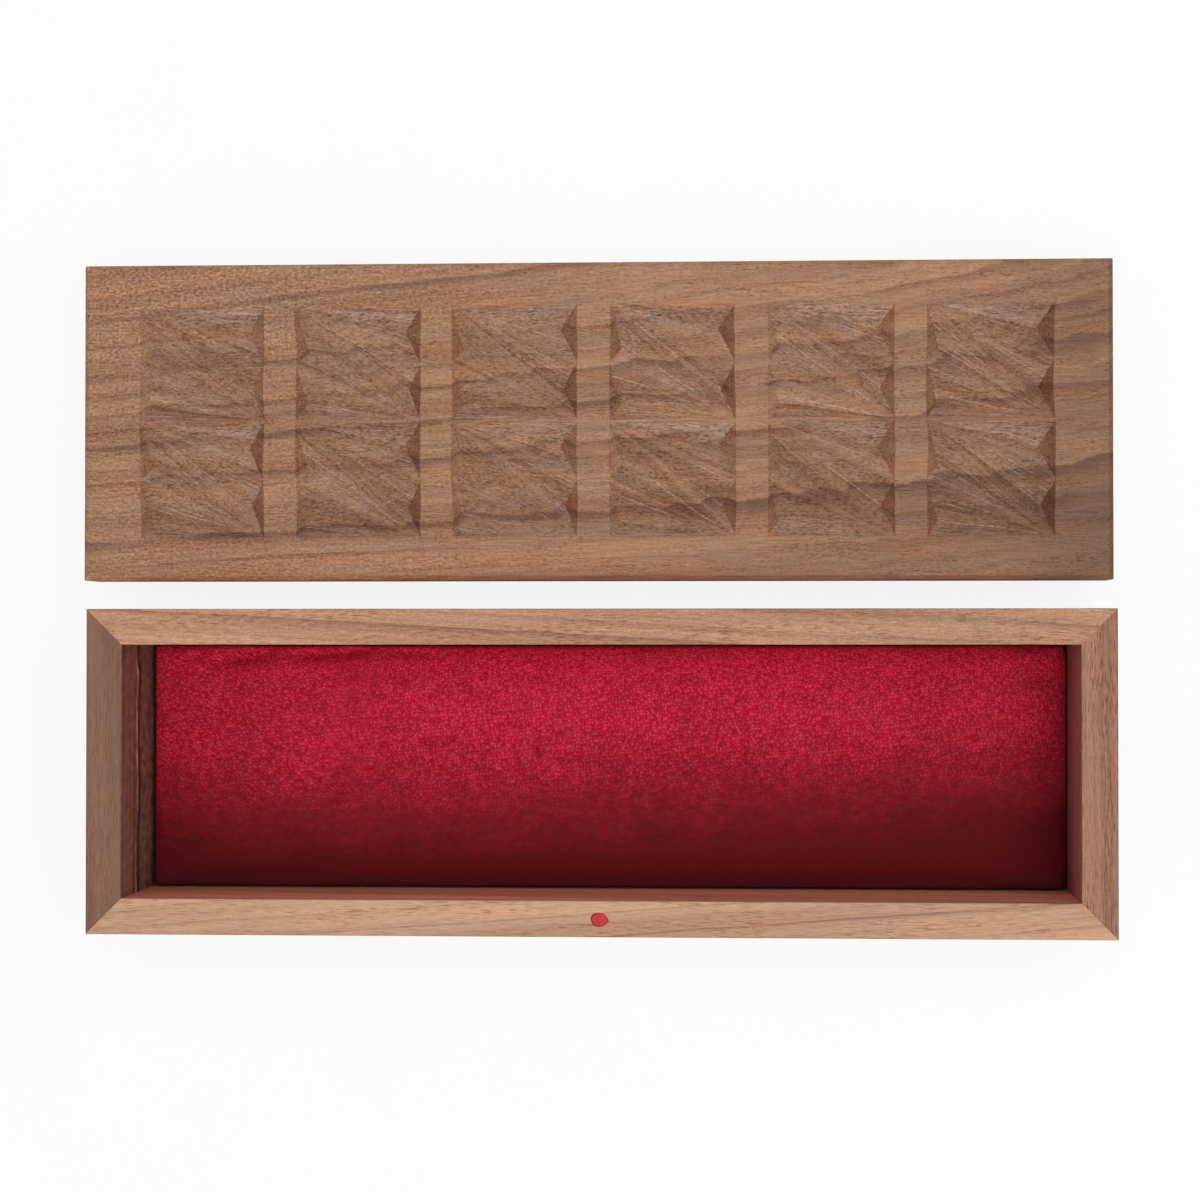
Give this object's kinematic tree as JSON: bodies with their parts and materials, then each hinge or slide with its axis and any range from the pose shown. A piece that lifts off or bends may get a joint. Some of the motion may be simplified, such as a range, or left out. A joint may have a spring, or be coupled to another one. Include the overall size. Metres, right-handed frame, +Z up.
{
  "type": "fountain pen case",
  "caption": "Mitred wooden pen case with a crowned velvet pad inside and a chip-carved lift-off lid lying behind it, to keep a fountain pen in.",
  "frame": {"origin": "middle of the tray's underside, on the surface that it stands on", "axes": "X along the case, +Y from the tray towards the lid that lies behind it, +Z up"},
  "size_m": [0.2076, 0.1337, 0.036],
  "materials": {
    "walnut": "bare planed walnut, light brown with fine dark pores along the grain",
    "lid_walnut": "oiled walnut with dark growth lines, knife-cut facets and worn ridges",
    "base_wood": "bare planed walnut panel",
    "velvet": "short-pile crimson velvet with a fine knitted ground",
    "foam": "open-cell upholstery foam",
    "card": "plain grey-brown pasteboard",
    "red_paint": "a dab of red enamel, slightly glossy"
  },
  "bodies": {
    "tray": {"front_wall": "walnut", "back_wall": "walnut", "left_wall": "walnut", "right_wall": "walnut", "base_panel": "base_wood", "alignment_dot": "red_paint"},
    "pad": {"pad_card": "card", "pad_foam": "foam", "velvet_cover": "velvet"},
    "lid": {"lid_board": "lid_walnut", "lip_front": "walnut", "lip_back": "walnut", "lip_left": "walnut", "lip_right": "walnut", "lid_dot": "red_paint"}
  },
  "joints": [
    {"name": "lid_lift", "type": "slide", "parent": "tray", "child": "lid", "axis": [0, 0, 1], "range_m": [0, 0.08]},
    {"name": "pad_lift", "type": "slide", "parent": "tray", "child": "pad", "axis": [0, 0, 1], "range_m": [0, 0.045]}
  ]
}
